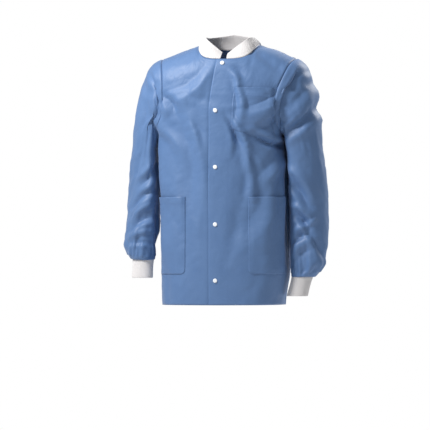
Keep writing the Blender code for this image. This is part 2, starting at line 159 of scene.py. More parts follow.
SLEEVE_FOLDS = (
    (264, -118, 186, -225, 6, 22),        # left shoulder to underarm
    (208, -90, 178, -142, -6, 15),
    (272, -168, 172, -277, -9, 17),
    (285, -190, 180, -300, 6, 18),
    (172, -360, 262, -455, 8, 22),        # left elbow
    (166, -401, 248, -479, -9, 17),
    (182, -470, 258, -520, 8, 17),
    (190, -499, 254, -556, -9, 15),
    (262, -520, 190, -545, 6, 14),
    (177, -598, 240, -559, -8, 14),
    (240, -559, 282, -629, -7, 14),
    (182, -628, 245, -583, 7, 18),
    (-235, -90, -275, -323, 6, 20),       # right shoulder down the arm
    (-212, -140, -249, -292, -5, 18),
    (-198, -318, -266, -412, -9, 17),
    (-194, -350, -256, -432, 8, 17),      # right elbow
    (-298, -484, -200, -424, -8, 15),
    (-296, -520, -200, -458, 8, 16),
    (-300, -551, -200, -500, -9, 15),
    (-300, -572, -200, -548, 6, 13),
    (-296, -586, -200, -592, -5, 11),
)


def mix(a, b, t):
    return a + (b - a) * t


def smooth(t):
    t = min(1.0, max(0.0, t))
    return t * t * (3.0 - 2.0 * t)


def travel(path):
    """Distance along a path to each of its points."""
    total = [0.0]
    for a, b in zip(path, path[1:]):
        total.append(total[-1] + (b - a).length)
    return total


# ---- the coat's surface, as the CAD panels have it ----------------------------------------------
def sway(z):
    return SWAY * smooth(z / SWAY_END_Z)


def shoulder_height(x):
    return SHOULDER_SLOPE * (math.hypot(NECK_HALF_WIDTH, NECK_ROUND) - math.hypot(x, NECK_ROUND))


def half_width(z):
    return HALF_WIDTH + HEM_FLARE * smooth((UNDERARM_Z - z) / (UNDERARM_Z - HEM_Z))


def rise(x, z):
    return max(0.0, (z - UNDERARM_Z) / (shoulder_height(x) - UNDERARM_Z))


def depth(x, z, full_depth, fullness):
    up = min(1.0, rise(x, z))
    width = mix(half_width(z), 0.275, up)
    across = max(0.0, 1.0 - (abs(x) / width) ** 2.7) ** (1.0 / 2.3)
    return full_depth * across * (1.0 - up ** fullness) ** 0.466


def hip(x, z):
    """Shift of the sides: the left one hangs fuller at the hip, and both turn in at the hem."""
    left = smooth((x - 0.06) / 0.11)
    right = smooth((-x - 0.06) / 0.11)
    full = 0.008 * smooth((-0.30 - z) / 0.13) - 0.016 * smooth((-0.65 - z) / 0.11)
    return left * full + right * 0.009 * smooth((-0.32 - z) / 0.20)


def on_front(x, z):
    y = -depth(x, z, FRONT_DEPTH, FRONT_FULLNESS)
    return Vector((x + sway(z) + hip(x, z), y, z))


def on_back(x, z):
    y = depth(x, z, BACK_DEPTH, BACK_FULLNESS)
    return Vector((x + sway(z) + hip(x, z), y, z))


def armhole_x(up):
    return mix(half_width(UNDERARM_Z), SHOULDER_TIP_X, up) - 0.026 * math.sin(math.pi * up) ** 0.8


def neck_z(x, drop):
    share = min(1.0, abs(x) / NECK_HALF_WIDTH)
    return -drop * math.sqrt(1.0 - share ** 4)


# ---- the cloth's grids --------------------------------------------------------------------------
class Cloth:
    """Points shared by all grids, so that the pieces stay joined while they are simulated."""

    def __init__(self):
        self.points = []
        self.index = {}
        self.faces = []
        self.piece = []
        self.uv = []

    def point(self, co):
        key = tuple(round(c * 20000.0) for c in co)
        if key not in self.index:
            self.index[key] = len(self.points)
            self.points.append(Vector(co))
        return self.index[key]

    def add_faces(self, grid, closed, piece_of, flip=False):
        """Faces between the rows of a grid of point numbers. UVs are metres along the cloth."""
        rows = len(grid)
        columns = len(grid[0])
        steps = columns if closed else columns - 1
        middle = grid[rows // 3]
        across = travel([self.points[i] for i in middle + middle[:1]])
        along = travel([self.points[row[columns // 4]] for row in grid])
        for r in range(rows - 1):
            for c in range(steps):
                d = (c + 1) % columns
                face = [grid[r][c], grid[r][d], grid[r + 1][d], grid[r + 1][c]]
                uv = [(across[c], along[r]), (across[c + 1], along[r]),
                      (across[c + 1], along[r + 1]), (across[c], along[r + 1])]
                if flip:
                    face.reverse()
                    uv.reverse()
                if len(set(face)) < 3:
                    continue
                self.faces.append(face)
                self.uv.append(uv)
                self.piece.append(piece_of(r, c))


def column_plan():
    """(x below the underarm, x at the top) of each column, from the wearer's right to the left."""
    inner = INNER_X[-1]
    start = math.asin(inner / HALF_WIDTH)
    outer = []
    for k in range(1, SIDE_COLUMNS + 1):
        low = HALF_WIDTH * math.sin(mix(start, 0.5 * math.pi, k / SIDE_COLUMNS))
        if k <= NECK_COLUMNS:
            top = mix(inner, NECK_HALF_WIDTH, k / NECK_COLUMNS)
        else:
            top = mix(NECK_HALF_WIDTH, SHOULDER_TIP_X,
                      (k - NECK_COLUMNS) / (SIDE_COLUMNS - NECK_COLUMNS))
        outer.append((low, top))
    plan = [(-low, -top) for low, top in reversed(outer)]
    plan += [(x, x) for x in INNER_X]
    return plan + outer


def body_grid(cloth, surface, drop, lift_of, backwards):
    plan = column_plan()
    if backwards:
        plan = plan[::-1]
    grid = []
    for r in range(LOW_ROWS + ARM_ROWS + 1):
        row = []
        for low, top in plan:
            if r <= LOW_ROWS:
                z = mix(HEM_Z, UNDERARM_Z, r / LOW_ROWS)
                x = low * mix(1.0, half_width(z) / HALF_WIDTH, smooth(abs(low) / HALF_WIDTH))
            else:
                up = (r - LOW_ROWS) / ARM_ROWS
                edge = armhole_x(up)
                inner = INNER_X[-1]
                low_share = (abs(low) - inner) / (HALF_WIDTH - inner)
                top_share = (abs(top) - inner) / (SHOULDER_TIP_X - inner)
                x = low
                if low_share > 1e-6:
                    x = math.copysign(mix(inner, edge, mix(low_share, top_share, up)), low)
                top_z = neck_z(top, drop) if abs(top) < NECK_HALF_WIDTH else shoulder_height(top)
                z = mix(UNDERARM_Z, top_z, up)
            co = surface(x, z)
            if lift_of is not None:
                co.y -= lift_of(x) * smooth(abs(co.y) / 0.05)
            row.append(cloth.point(co))
        grid.append(row)
    return grid


def overlap_lift(x):
    """Extra height of the overlapping strip over the rest of the front."""
    rising = smooth((x - OVERLAP_EDGE_X + 0.005) / 0.004)
    falling = smooth((OVERLAP_FOLD_X + 0.004 - x) / 0.014)
    return CLOTH_LIFT + (OVERLAP_LIFT - CLOTH_LIFT) * rising * falling


def ring_slice(node, z):
    """Middle and half sizes of a CAD sleeve where a level plane cuts it."""
    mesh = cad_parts[node].data
    cut = []
    for edge in mesh.edges:
        a, b = (mesh.vertices[v].co for v in edge.vertices)
        if (a.z - z) * (b.z - z) < 0.0:
            cut.append(a.lerp(b, (z - a.z) / (b.z - a.z)))
    low = Vector(map(min, *cut))
    high = Vector(map(max, *cut))
    return (low + high) / 2.0, (high - low) / 2.0


def sleeve_grid(cloth, node, cuff_node, armhole, side):
    """Rings from the armhole to the cuff. The last two lie inside the cuff's top edge."""
    count = len(armhole)
    start = [cloth.points[i] for i in armhole]
    cuff_low, cuff_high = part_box(cuff_node)
    cuff_top = cuff_high[2]

    def ring(z):
        middle, half = ring_slice(node, z)
        loose = smooth((ARM_Z - z) / 0.08) * smooth((z - cuff_top - 0.02) / 0.07)
        points = []
        for n in range(count):
            turn = 2.0 * math.pi * n / count
            towards_body = mix(0.004, SLEEVE_EASE[side], 0.5 + 0.5 * math.cos(turn))
            points.append(Vector((middle.x - side * (half.x + towards_body * loose) * math.cos(turn),
                                  middle.y - (half.y + 0.003 * loose) * math.sin(turn), z)))
        return points

    end = ring(ARM_Z)
    top = max(point.z for point in start)
    grid = [list(armhole)]
    for r in range(1, CAP_ROWS):
        row = []
        t = r / CAP_ROWS
        for first, last in zip(start, end):
            high = smooth((first.z - UNDERARM_Z) / (top - UNDERARM_Z))
            over = Vector((mix(first.x, last.x, mix(0.35, 0.82, high)), mix(first.y, last.y, 0.5),
                           mix(mix(first.z, last.z, 0.3), first.z, high * 0.86)))
            co = first * (1 - t) ** 2 + over * (2 * t * (1 - t)) + last * t ** 2
            row.append(cloth.point(co))
        grid.append(row)
    low_z = cuff_top + 0.012
    arm_rows = int((ARM_Z - low_z) / ARM_PITCH)
    for r in range(arm_rows + 1):
        z = mix(ARM_Z, low_z, r / arm_rows)
        grid.append([cloth.point(co) for co in ring(z)])
    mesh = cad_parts[cuff_node].data
    rim = [v.co for v in mesh.vertices if v.co.z > cuff_top - 0.002]
    middle = sum(rim, Vector()) / len(rim)
    radius = max((co - middle).length for co in rim)
    last = ring(low_z)
    for share in (0.3, 0.6, 0.85, 1.0):
        row = []
        for n in range(count):
            turn = 2.0 * math.pi * n / count
            rim_co = middle + Vector((-side * radius * math.cos(turn), -radius * math.sin(turn), 0.0))
            rim_co.z = cuff_top - 0.001
            bulge = math.sin(math.pi * share)
            co = last[n].lerp(rim_co, share ** 1.6)
            co.z = mix(last[n].z, rim_co.z, share) - 0.006 * bulge
            row.append(cloth.point(co))
        grid.append(row)
    return grid


def build_cloth():
    cloth = Cloth()
    front = body_grid(cloth, on_front, FRONT_NECK_DROP, overlap_lift, False)
    back = body_grid(cloth, on_back, BACK_NECK_DROP, None, True)
    overlap_column = SIDE_COLUMNS + INNER_X.index(OVERLAP_EDGE_X)
    underlap_column = SIDE_COLUMNS + INNER_X.index(UNDERLAP_EDGE_X)

    def front_piece(r, c):
        if c < overlap_column:
            return PIECES.index("front_right")
        if c < underlap_column:
            return PIECES.index("overlap")
        return PIECES.index("front_left")

    cloth.add_faces(front, False, front_piece)
    cloth.add_faces(back, False, lambda r, c: PIECES.index("back"))
    sleeves = {}
    for side, label, front_column, back_column in ((1, "left", -1, 0), (-1, "right", 0, -1)):
        armhole = [front[LOW_ROWS + r][front_column] for r in range(ARM_ROWS + 1)]
        armhole += [back[LOW_ROWS + ARM_ROWS - r][back_column] for r in range(1, ARM_ROWS)]
        grid = sleeve_grid(cloth, "sleeve_" + label, "cuff_" + label, armhole, side)
        number = PIECES.index("sleeve_" + label)
        cloth.add_faces(grid, True, lambda r, c, number=number: number, flip=side > 0)
        sleeves[label] = grid
    return cloth, front, back, sleeves


# ---- simulation ---------------------------------------------------------------------------------
def mesh_object(name, points, faces, uv=None):
    """A mesh in the scene, with UVs given corner by corner where it has any."""
    mesh = bpy.data.meshes.new(name)
    mesh.from_pydata([tuple(p) for p in points], [], faces)
    mesh.update()
    if uv is not None:
        mesh.uv_layers.new(name="UVMap").data.foreach_set("uv", uv)
    item = bpy.data.objects.new(name, mesh)
    bpy.context.scene.collection.objects.link(item)
    return item


def face_outwards(item):
    bm = bmesh.new()
    bm.from_mesh(item.data)
    bmesh.ops.recalc_face_normals(bm, faces=bm.faces)
    bm.to_mesh(item.data)
    bm.free()
    return item


def applied(item):
    """The item's mesh with its modifiers applied."""
    return bpy.data.meshes.new_from_object(
        item.evaluated_get(bpy.context.evaluated_depsgraph_get()))


def shade_smooth(mesh):
    for polygon in mesh.polygons:
        polygon.use_smooth = True


def wearer(cloth, front, back, sleeves):
    forms = []
    rows = []
    for r in range(0, LOW_ROWS + ARM_ROWS - 2, 3):
        ring = front[r][::3] + back[r][::3]
        points = [cloth.points[i] for i in ring]
        middle = sum(points, Vector()) / len(points)
        share = r / (LOW_ROWS + ARM_ROWS)
        waist = 0.010 * math.exp(-((share - 0.42) / 0.16) ** 2)
        shrink = mix(0.007, 0.010, smooth((share - 0.55) / 0.35)) + waist
        row = []
        for p in points:
            inwards = Vector((middle.x - p.x, middle.y - p.y, 0.0))
            row.append(p + inwards.normalized() * min(shrink, inwards.length * 0.5))
        rows.append(row)
    forms.append(tube_object("form_body", rows))
    for label, grid in sleeves.items():
        rows = []
        for r in range(3, len(grid) - 4, 3):
            points = [cloth.points[i] for i in grid[r][::4]]
            middle = sum(points, Vector()) / len(points)
            fill = mix(0.90, 0.76, smooth((r - 3) / 20.0))
            rows.append([middle.lerp(p, fill) for p in points])
        forms.append(tube_object("form_arm_" + label, rows))
    for form in forms:
        collide = form.modifiers.new("Collision", "COLLISION")
        collide.settings.thickness_outer = 0.003
        collide.settings.cloth_friction = 8.0
    return forms


def tube_object(name, rows):
    count = len(rows[0])
    points = [p for row in rows for p in row]
    faces = []
    for r in range(len(rows) - 1):
        for c in range(count):
            d = (c + 1) % count
            faces.append((r * count + c, r * count + d, (r + 1) * count + d, (r + 1) * count + c))
    faces.append(tuple(range(count)))
    faces.append(tuple((len(rows) - 1) * count + c for c in range(count)))
    return face_outwards(mesh_object(name, points, faces))


def snap_heights():
    return [0.5 * (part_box(f"snap_cap_{n}")[0][2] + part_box(f"snap_cap_{n}")[1][2])
            for n in range(1, 6)]


def hold_weights(cloth, front, back, sleeves):
    """How firmly each point keeps its place: fully at neck, snaps and cuffs, loosely elsewhere."""
    hold = np.full(len(cloth.points), 0.012)
    snaps = snap_heights()
    for grid in (front, back):
        for r, row in enumerate(grid):
            for i in row:
                co = cloth.points[i]
                if r >= LOW_ROWS + ARM_ROWS - 1:
                    hold[i] = 1.0 if abs(co.x) < NECK_HALF_WIDTH + 0.002 else 0.60
                elif r > LOW_ROWS:
                    up = (r - LOW_ROWS) / ARM_ROWS
                    hold[i] = mix(0.02, 0.45, up ** 4)
    for row in front:
        for i in row:
            co = cloth.points[i]
            x = co.x - sway(co.z)
            if -0.035 < x < 0.050:
                hold[i] = max(hold[i], 0.12)
            if any(math.hypot(x, co.z - z) < 0.0125 for z in snaps):
                hold[i] = 1.0
    for grid in sleeves.values():
        for r, row in enumerate(grid[:20]):
            for i in row:
                high = smooth((cloth.points[i].z + 0.20) / 0.12)
                hold[i] = max(hold[i], mix(0.03, 0.97, high) * (1.0 - smooth(r / 20.0)))
        for i in grid[-1] + grid[-2]:
            hold[i] = 1.0
    return hold


def simulate(cloth, front, back, sleeves):
    """Cloth with a little spare width and length falls and creases over the form."""
    forms = wearer(cloth, front, back, sleeves)
    item = mesh_object("cloth", cloth.points, cloth.faces)
    group = item.vertex_groups.new(name="hold")
    for i, weight in enumerate(hold_weights(cloth, front, back, sleeves)):
        group.add([i], float(weight), "REPLACE")
    spare = item.vertex_groups.new(name="spare")
    for grid in (front, back):
        for row in grid:
            spare.add(row, 0.25, "REPLACE")
    for grid in sleeves.values():
        for r, row in enumerate(grid[1:], start=1):
            spare.add(row, mix(0.05, 0.40, smooth((r - 12) / 12.0)), "REPLACE")
    modifier = item.modifiers.new("Cloth", "CLOTH")
    settings = modifier.settings
    settings.quality = 6
    settings.mass = 0.02
    settings.air_damping = 1.0
    settings.tension_stiffness = settings.compression_stiffness = 15.0
    settings.shear_stiffness = 5.0
    settings.bending_stiffness = 0.05
    settings.tension_damping = settings.compression_damping = 3.0
    settings.shear_damping = 3.0
    settings.bending_damping = 0.2
    settings.vertex_group_mass = "hold"
    settings.pin_stiffness = 1.0
    settings.vertex_group_shrink = "spare"
    settings.shrink_min = 0.0
    settings.shrink_max = -0.12
    modifier.collision_settings.distance_min = 0.002
    modifier.collision_settings.collision_quality = 2
    modifier.point_cache.frame_end = SIM_FRAMES
    scene = bpy.context.scene
    for number in range(1, SIM_FRAMES + 1):
        scene.frame_set(number)
    shape = item.evaluated_get(bpy.context.evaluated_depsgraph_get()).to_mesh()
    found = [v.co.copy() for v in shape.vertices]
    scene.frame_set(1)
    for gone in forms + [item]:
        bpy.data.objects.remove(gone, do_unlink=True)
    return found


# ---- from the simulated cloth to finished pieces ------------------------------------------------
def build_sheet(name, points, cloth):
    """The whole cloth as one mesh with its piece numbers and UVs, subdivided once."""
    item = mesh_object(name, points, cloth.faces, np.ravel(cloth.uv))
    item.data.polygons.foreach_set("material_index", cloth.piece)
    for _ in PIECES:
        item.data.materials.append(None)
    divide = item.modifiers.new("Subdivision", "SUBSURF")
    divide.levels = divide.render_levels = 1
    divide.boundary_smooth = "PRESERVE_CORNERS"
    mesh = applied(item)
    bpy.data.objects.remove(item, do_unlink=True)
    return mesh


def coordinates(mesh):
    flat = np.empty(len(mesh.vertices) * 3)
    mesh.vertices.foreach_get("co", flat)
    return flat.reshape(-1, 3)


def vertex_normals(points, faces):
    corner = points[faces]
    across = np.cross(corner[:, 2] - corner[:, 0], corner[:, 3] - corner[:, 1])
    normal = np.zeros_like(points)
    for c in range(4):
        np.add.at(normal, faces[:, c], across)
    return normal / np.maximum(np.linalg.norm(normal, axis=1, keepdims=True), 1e-12)


class Sheet:
    """The subdivided cloth at rest on its pattern surface and as simulated."""

    def __init__(self, cloth, found):
        flat = build_sheet("pattern", cloth.points, cloth)
        hung = build_sheet("hung", found, cloth)
        self.pattern = coordinates(flat)
        self.points = coordinates(hung)
        self.faces = np.array([tuple(p.vertices) for p in hung.polygons])
        self.piece = np.array([p.material_index for p in hung.polygons])
        uv = np.empty(len(hung.loops) * 2)
        hung.uv_layers[0].data.foreach_get("uv", uv)
        self.uv = uv.reshape(-1, 4, 2)
        bpy.data.meshes.remove(flat)
        bpy.data.meshes.remove(hung)
        self.refresh()

    def refresh(self):
        self.normals = vertex_normals(self.points, self.faces)
        self.tree = None

    def seam(self, label):
        """Numbers of the points where a sleeve is sewn to the body."""
        sleeve = np.unique(self.faces[self.piece == PIECES.index("sleeve_" + label)])
        body = np.isin(self.piece, [PIECES.index(n) for n in FRONT_SIDES + ("back",)])
        return np.intersect1d(sleeve, self.faces[body])

    def carry(self, co, lift):
        """Where a point of the pattern surface has gone, lifted off the cloth's outside."""
        if self.tree is None:
            front = np.isin(self.piece, [PIECES.index(n) for n in FRONT_SIDES])
            self.front_faces = self.faces[front]
            self.tree = BVHTree.FromPolygons([tuple(p) for p in self.pattern],
                                             [tuple(f) for f in self.front_faces])
        near, _, number, _ = self.tree.find_nearest(Vector(co))
        face = self.front_faces[number]
        corners = [Vector(self.pattern[i]) for i in face]
        weights = poly_3d_calc(corners, near)
        spot = sum((Vector(self.points[i]) * w for i, w in zip(face, weights)), Vector())
        normal = sum((Vector(self.normals[i]) * w for i, w in zip(face, weights)), Vector())
        return spot + normal.normalized() * lift, normal.normalized()


def folded(pattern, folds):
    """Outward push of each point: a crisp crest with a shallower hollow along one side."""
    x, z = pattern[:, 0], pattern[:, 2]
    push = np.zeros(len(pattern))
    for fold in folds:
        x0, z0, x1, z1, height, width = (value / 1000.0 for value in fold)
        run_x, run_z = x1 - x0, z1 - z0
        length = math.hypot(run_x, run_z)
        t = ((x - x0) * run_x + (z - z0) * run_z) / length ** 2
        bow = 0.10 * length * np.sin(np.pi * np.clip(t, 0.0, 1.0))
        off = ((x - x0) * run_z - (z - z0) * run_x) / length + bow
        beyond = np.maximum(0.0, np.maximum(-t, t - 1.0)) * length
        taper = np.sin(np.pi * (0.14 + 0.74 * np.clip(t, 0.0, 1.0)))
        widen = width * (0.75 + 0.5 * np.clip(t, 0.0, 1.0))
        crest = np.clip(1.0 - np.hypot(off, beyond) / widen, 0.0, 1.0) ** 1.15
        hollow = np.clip(1.0 - np.hypot(off - 0.95 * widen, beyond) / widen, 0.0, 1.0) ** 1.25
        push += height * taper * (crest - 0.55 * hollow)
    return push


def crumple(sheet):
    """Worn-in folds, gathers at the cuffs and crisp paper-like creases, along the normals."""
    snaps = snap_heights()
    pattern = sheet.pattern
    sleeve = np.zeros(len(pattern), dtype=bool)
    for label in ("left", "right"):
        sleeve[np.unique(sheet.faces[sheet.piece == PIECES.index("sleeve_" + label)])] = True
    away = np.clip(np.abs(pattern[:, 1]) / 0.045, 0.0, 1.0)
    away = away * away * (3.0 - 2.0 * away)
    x_rel = pattern[:, 0] - np.array([sway(z) for z in pattern[:, 2]])
    calm = 0.25 + 0.75 * np.clip((np.abs(x_rel - 0.004) - 0.022) / 0.030, 0.0, 1.0)
    front_push = FRONT_FOLD_DEPTH * folded(pattern, FRONT_FOLDS) * away * calm
    back_push = BACK_FOLD_DEPTH * folded(pattern, BACK_FOLDS) * away
    to_body = -np.sign(pattern[:, 0]) * sheet.normals[:, 0]
    sleeve_push = SLEEVE_FOLD_DEPTH * folded(pattern, SLEEVE_FOLDS)
    sleeve_push *= 1.0 - 0.75 * np.clip((to_body - 0.35) / 0.4, 0.0, 1.0)
    push = np.where(sleeve, sleeve_push,
                    np.where(pattern[:, 1] < 0.0, front_push, back_push))
    for node in ("cuff_left", "cuff_right"):
        low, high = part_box(node)
        turn = np.arctan2(pattern[:, 1] - 0.5 * (low[1] + high[1]),
                          pattern[:, 0] - 0.5 * (low[0] + high[0]))
        above = np.clip((pattern[:, 2] - high[2]) / 0.075, 0.0, 1.0)
        near = np.hypot(pattern[:, 0] - 0.5 * (low[0] + high[0]), pattern[:, 1]) < 0.11
        gather = np.sin(turn * 13.0 + 2.2 * np.sin(turn * 3.0)) * (1.0 - above) ** 1.6
        push += np.where(sleeve & near & (pattern[:, 2] > high[2] + 0.004), 0.0034 * gather, 0.0)
    for label in ("left", "right"):
        push[sheet.seam(label)] = SEAM_DIP
    for i, rest in enumerate(pattern):
        co = Vector(rest)
        warped = co + noise.noise_vector(co * 7.0) * 0.030
        broad = abs(noise.noise(Vector((warped.x * 11.0, warped.y * 9.0, warped.z * 6.0))))
        fine = abs(noise.noise(warped * 31.0 + Vector((5.0, 0.0, 0.0))))
        amount = 0.0050 * (broad - 0.2) + 0.0016 * (fine - 0.2)
        if not sleeve[i] and co.y < 0.02:
            amount *= mix(0.25, 1.0, smooth((abs(x_rel[i]) - 0.03) / 0.03))
        amount += push[i]
        if co.y < 0.0 and abs(x_rel[i]) < 0.06:
            gap = min(math.hypot(x_rel[i], co.z - z) for z in snaps)
            amount *= smooth((gap - 0.009) / 0.02)
        if co.z > -0.06 and not sleeve[i]:
            amount *= smooth((math.hypot(co.x, co.y) - NECK_HALF_WIDTH) / 0.03)
        sheet.points[i] += sheet.normals[i] * amount
    sheet.refresh()


def overlap_offset(x):
    """How far the hidden front lies below the overlapping one, at x across the placket."""
    under = OVERLAP_LIFT - CLOTH_LIFT
    start = smooth((x - OVERLAP_EDGE_X + 0.007) / 0.006)
    deeper = smooth((x - OVERLAP_EDGE_X - 0.001) / 0.007)
    return under * start + (UNDERLAP_STEP - under) * deeper


def cut_piece(sheet, name, numbers, offset=None):
    """One piece of the cloth as its own object; thicken later gives it its thickness."""
    chosen = np.isin(sheet.piece, [PIECES.index(n) for n in numbers])
    faces = sheet.faces[chosen]
    used, compact = np.unique(faces, return_inverse=True)
    compact = compact.reshape(faces.shape)
    points = sheet.points[used].copy()
    if offset is not None:
        for k, i in enumerate(used):
            rest = sheet.pattern[i]
            points[k] -= sheet.normals[i] * offset(rest[0] - sway(rest[2]))
    return mesh_object(name, points, compact.tolist(), sheet.uv[chosen].ravel())


def thicken(item, thickness):
    wall = item.modifiers.new("Solidify", "SOLIDIFY")
    wall.thickness = thickness
    wall.offset = 0.0
    mesh = applied(item)
    item.modifiers.clear()
    item.data = mesh
    shade_smooth(mesh)


def flat_area(points, faces):
    corner = points[faces]
    return 0.5 * np.linalg.norm(np.cross(corner[:, 2] - corner[:, 0],
                                         corner[:, 3] - corner[:, 1]), axis=1).sum()


# ---- stitching ----------------------------------------------------------------------------------
def stitches(path, normals, length=0.0028, gap=0.0012, width=0.0005, proud=0.0003):
    """Small raised dashes along a path that lies on the cloth. Returns points and faces."""
    points, faces = [], []
    travelled = travel(path)

    def at(distance):
        distance = min(max(distance, 0.0), travelled[-1])
        k = max(n for n, value in enumerate(travelled) if value <= distance)
        k = min(k, len(path) - 2)
        t = (distance - travelled[k]) / max(travelled[k + 1] - travelled[k], 1e-9)
        return path[k].lerp(path[k + 1], t), normals[k].lerp(normals[k + 1], t).normalized()

    start = 0.0
    while start + length < travelled[-1]:
        (a, up_a), (b, up_b) = at(start), at(start + length)
        along = (b - a).normalized()
        side = along.cross(up_a).normalized() * width * 0.5
        first = len(points)
        middle = (a + b) / 2.0 + up_a * proud
        tilt = along * length * 0.28
        points += [a, a + side + tilt * 0.6, b + side - tilt * 0.6, b, b - side - tilt * 0.6,
                   a - side + tilt * 0.6, middle - tilt, middle + tilt]
        faces += [(first, first + 1, first + 6), (first + 1, first + 2, first + 7, first + 6),
                  (first + 2, first + 3, first + 7), (first + 3, first + 4, first + 7),
                  (first + 4, first + 5, first + 6, first + 7), (first + 5, first, first + 6),
                  tuple(first + k for k in (5, 4, 3, 2, 1, 0))]
        start += length + gap
    return points, faces


def carried_stitches(sheet, spots):
    """Stitches through (x, z) spots of the front, carried onto the hanging cloth."""
    fine = []
    for (x0, z0), (x1, z1) in zip(spots, spots[1:]):
        steps = max(1, int(math.hypot(x1 - x0, z1 - z0) / 0.006))
        for n in range(steps):
            fine.append((mix(x0, x1, n / steps), mix(z0, z1, n / steps)))
    fine.append(spots[-1])
    return stitches(*zip(*(sheet.carry(on_front(x, z), SHEET * 0.5) for x, z in fine)))


def add_thread(item, runs):
    """Adds runs of stitches to a piece, in its second material slot."""
    bm = bmesh.new()
    bm.from_mesh(item.data)
    for points, faces in runs:
        verts = [bm.verts.new(p) for p in points]
        for face in faces:
            new = bm.faces.new([verts[k] for k in face])
            new.material_index = 1
            new.smooth = False
    bm.to_mesh(item.data)
    bm.free()


# ---- knitted rib --------------------------------------------------------------------------------
def rib_band(name, lower, upper, outward, closed, thickness, ribs, rows=11, bulge=0.0012,
             depth=0.0004):
    """A folded band of rib knit between two rails. It rounds over at the upper rail.

    outward(n, t) is the direction away from the band's inside at rail point n, height t.
    """
    count = len(lower)
    profile = []
    for r in range(rows + 1):
        profile.append((r / rows, 0.0))
    for k in range(1, 6):
        turn = math.pi * k / 6.0
        profile.append((1.0, turn))
    for r in range(rows + 1):
        profile.append((1.0 - r / rows, math.pi))
    points, uvs = [], []
    across = travel(lower + lower[:1])
    for t, turn in profile:
        for n in range(count):
            a, b = lower[n], upper[n]
            up = (b - a).normalized()
            out = outward(n, t)
            middle = a.lerp(b, t) - out * thickness * 0.5
            swell = bulge * math.sin(math.pi * min(1.0, t * 1.1 + 0.02))
            wave = depth * math.cos(2.0 * math.pi * ribs * n / count)
            radius = thickness * 0.5
            if turn in (0.0, math.pi):
                side = 1.0 if turn == 0.0 else -1.0
                co = middle + out * (side * (radius + wave) + swell)
            else:
                co = (middle + out * (math.cos(turn) * (radius + wave) + swell * 0.3)
                      + up * math.sin(turn) * (radius + wave * 0.5))
            points.append(co)
            uvs.append((across[n], t * (b - a).length))
    faces, face_uv = [], []
    steps = count if closed else count - 1
    for r in range(len(profile) - 1):
        for n in range(steps):
            m = (n + 1) % count
            faces.append((r * count + n, r * count + m, (r + 1) * count + m, (r + 1) * count + n))
            face_uv.append([uvs[k] for k in faces[-1]])
            if m == 0:
                face_uv[-1][1] = (across[count], face_uv[-1][1][1])
                face_uv[-1][2] = (across[count], face_uv[-1][2][1])
    last = (len(profile) - 1) * count
    for n in range(steps):
        m = (n + 1) % count
        faces.append((last + n, last + m, m, n))
        face_uv.append([uvs[n]] * 4)
    if not closed:
        faces.append(tuple(r * count for r in range(len(profile))))
        faces.append(tuple(r * count + count - 1 for r in range(len(profile)))[::-1])
        face_uv.append([uvs[0]] * len(profile))
        face_uv.append([uvs[0]] * len(profile))
    item = mesh_object(name, points, faces, [v for coords in face_uv for uv in coords for v in uv])
    shade_smooth(item.data)
    return face_outwards(item)


# ---- materials ----------------------------------------------------------------------------------
class Graph:
    """Shorthand for building a material's nodes."""

    def __init__(self, name):
        self.material = bpy.data.materials.new(name)
        self.material.use_nodes = True
        self.nodes = self.material.node_tree.nodes
        self.links = self.material.node_tree.links
        self.shader = self.nodes["Principled BSDF"]

    def node(self, kind, **settings):
        made = self.nodes.new("ShaderNode" + kind)
        for key, value in settings.items():
            if key in made.inputs:
                made.inputs[key].default_value = value
            else:
                setattr(made, key, value)
        return made

    def link(self, a, a_socket, b, b_socket):
        self.links.new(a.outputs[a_socket], b.inputs[b_socket])

    def texture(self, kind, at, socket="UV", **settings):
        made = self.node("Tex" + kind, **settings)
        self.link(at, socket, made, "Vector")
        return made

    def stretch(self, at, scale):
        node = self.node("Mapping")
        node.inputs["Scale"].default_value = scale
        self.link(at, "UV", node, "Vector")
        return node

    def tone(self, source, dark, light):
        """A colour between two, chosen by a texture."""
        node = self.node("Mix", data_type="RGBA")
        node.inputs["A"].default_value = (*dark, 1.0)
        node.inputs["B"].default_value = (*light, 1.0)
        self.link(source, "Fac", node, "Factor")
        return node

    def scaled(self, tone, factor):
        node = self.node("VectorMath", operation="SCALE")
        self.link(tone, "Result", node, 0)
        self.link(factor, 0, node, "Scale")
        return node

    def ramp(self, source, socket, low, high, out_low, out_high):
        node = self.node("MapRange")
        for key, value in (("From Min", low), ("From Max", high),
                           ("To Min", out_low), ("To Max", out_high)):
            node.inputs[key].default_value = value
        self.link(source, socket, node, "Value")
        return node

    def bumps(self, *layers):
        """Bumps in turn, each (source, socket, distance, strength), into the shader's normal."""
        before = None
        for source, socket, distance, strength in layers:
            node = self.node("Bump", Distance=distance, Strength=strength)
            self.link(source, socket, node, "Height")
            if before is not None:
                self.link(before, "Normal", node, "Normal")
            before = node
        self.link(before, "Normal", self.shader, "Normal")

    def finish(self, colour, socket, rough, values):
        """Feeds the shader's colour and roughness, and sets its other inputs."""
        self.link(colour, socket, self.shader, "Base Color")
        if rough is not None:
            self.link(rough, 0, self.shader, "Roughness")
        for key, value in values.items():
            self.shader.inputs[key].default_value = value
        return self.material


